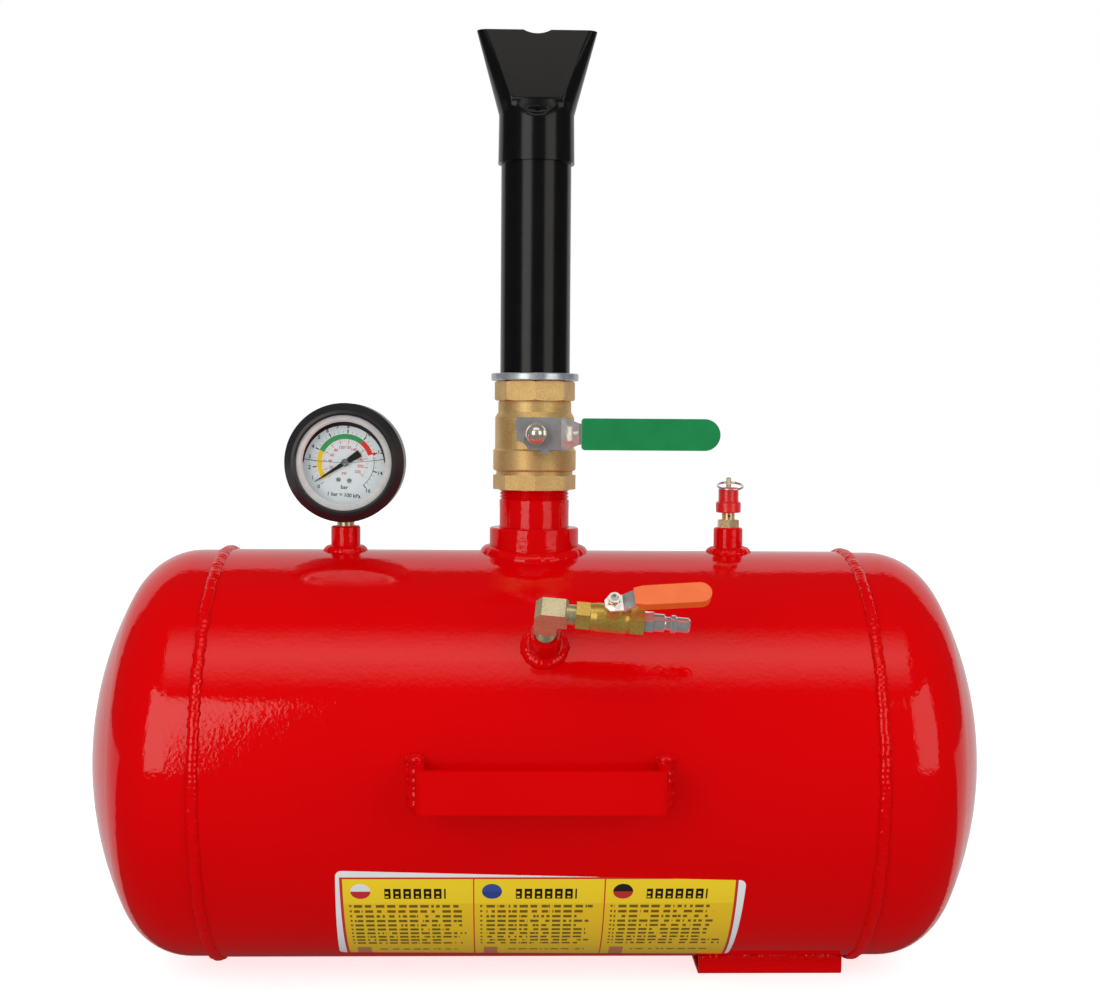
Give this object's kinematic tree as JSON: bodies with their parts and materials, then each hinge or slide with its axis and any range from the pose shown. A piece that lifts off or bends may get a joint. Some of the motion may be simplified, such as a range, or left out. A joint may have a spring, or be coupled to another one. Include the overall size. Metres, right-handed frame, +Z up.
{
  "type": "tyre bead seater",
  "caption": "Portable air tank that seats tyre beads: a quarter-turn valve dumps its air through a flared barrel; it carries a gauge, relief valve, inlet valve and handle.",
  "frame": {"origin": "on the floor, under the middle of the part's overall box; the barrel's axis stands 16.75 mm behind it", "axes": "+Z up along the barrel, +X along the tank towards the relief valve, -Y towards the carrying handle and label"},
  "size_m": [0.6048, 0.3194, 0.6425],
  "materials": {
    "red_paint": "gloss enamel",
    "printed_label": "gloss print",
    "brass": "blasted and machined",
    "nickel_brass": "dull nickel",
    "chrome_plate": "bright plate",
    "steel": "bright steel",
    "zinc_plate": "blue zinc",
    "seal_plastic": "white seal",
    "green_grip": "dipped vinyl",
    "orange_grip": "dipped vinyl",
    "black_paint": "satin gloss",
    "clear_window": "clear",
    "printed_dial": "printed",
    "black_pointer": "satin",
    "black_rubber": "soft",
    "red_plastic": "moulded"
  },
  "bodies": {
    "tank": {"tank_shell": "red_paint", "left_head": "red_paint", "right_head": "red_paint", "left_seam_weld": "red_paint", "right_seam_weld": "red_paint", "long_seam_weld": "red_paint", "barrel_coupling": "red_paint", "coupling_weld": "red_paint", "gauge_boss": "red_paint", "gauge_boss_weld": "red_paint", "relief_boss": "red_paint", "relief_boss_weld": "red_paint", "inlet_boss": "red_paint", "inlet_boss_weld": "red_paint", "carry_handle": "red_paint", "handle_welds": "red_paint", "foot_bracket": "red_paint", "foot_welds": "red_paint", "tank_nipple": "red_paint", "label": "printed_label", "valve_end_cap": "brass", "valve_body": "brass", "gland_nut": "brass", "gauge_socket": "brass", "gauge_movement": "brass", "bourdon_tube": "brass", "relief_body": "brass", "inlet_valve_body": "brass", "inlet_elbow": "nickel_brass", "dial_screws": "chrome_plate", "gauge_case": "steel", "gauge_bezel": "steel", "relief_spring": "steel", "air_plug": "steel", "lock_ring": "zinc_plate", "valve_seats": "seal_plastic", "stem_packing": "seal_plastic", "inlet_seats": "seal_plastic", "barrel_tube": "black_paint", "flare_nozzle": "black_paint", "gauge_window": "clear_window", "gauge_dial": "printed_dial", "gauge_boot": "black_rubber", "relief_cap": "red_plastic"},
    "main_lever": {"valve_ball": "chrome_plate", "valve_stem": "steel", "lever_arm": "chrome_plate", "lever_grip": "green_grip", "lever_nut": "chrome_plate"},
    "inlet_lever": {"inlet_ball": "chrome_plate", "inlet_stem": "steel", "inlet_lever": "steel", "inlet_grip": "orange_grip", "inlet_nut": "steel"},
    "gauge_pointer": {"gauge_pointer": "black_pointer", "pointer_arbor": "brass"},
    "relief_rod": {"relief_rod": "brass", "relief_seal": "black_rubber"},
    "pull_ring": {"pull_ring": "chrome_plate"}
  },
  "joints": [
    {"name": "main_lever_turn", "type": "hinge", "parent": "tank", "child": "main_lever", "pos_m": [-0.0025, 0.01675, 0.3671], "axis": [0, -1, 0], "range_deg": [0, 90]},
    {"name": "inlet_lever_turn", "type": "hinge", "parent": "tank", "child": "inlet_lever", "pos_m": [0.04308, -0.12832, 0.25518], "axis": [0, -0.7826, 0.6225], "range_deg": [-90, 0]},
    {"name": "pointer_turn", "type": "hinge", "parent": "tank", "child": "gauge_pointer", "pos_m": [-0.1333, 0.01675, 0.346], "axis": [0, 1, 0], "range_deg": [0, 262], "stiffness_Nm_per_rad": 0.002},
    {"name": "relief_lift", "type": "slide", "parent": "tank", "child": "relief_rod", "axis": [0, 0, 1], "range_m": [0, 0.003], "stiffness_N_per_m": 800, "springref_m": -0.005, "deforming": ["relief_spring"]},
    {"name": "pull_ring_swing", "type": "hinge", "parent": "relief_rod", "child": "pull_ring", "pos_m": [0.1333, 0.01675, 0.3336], "axis": [-1, 0, 0], "range_deg": [-35, 195]}
  ]
}
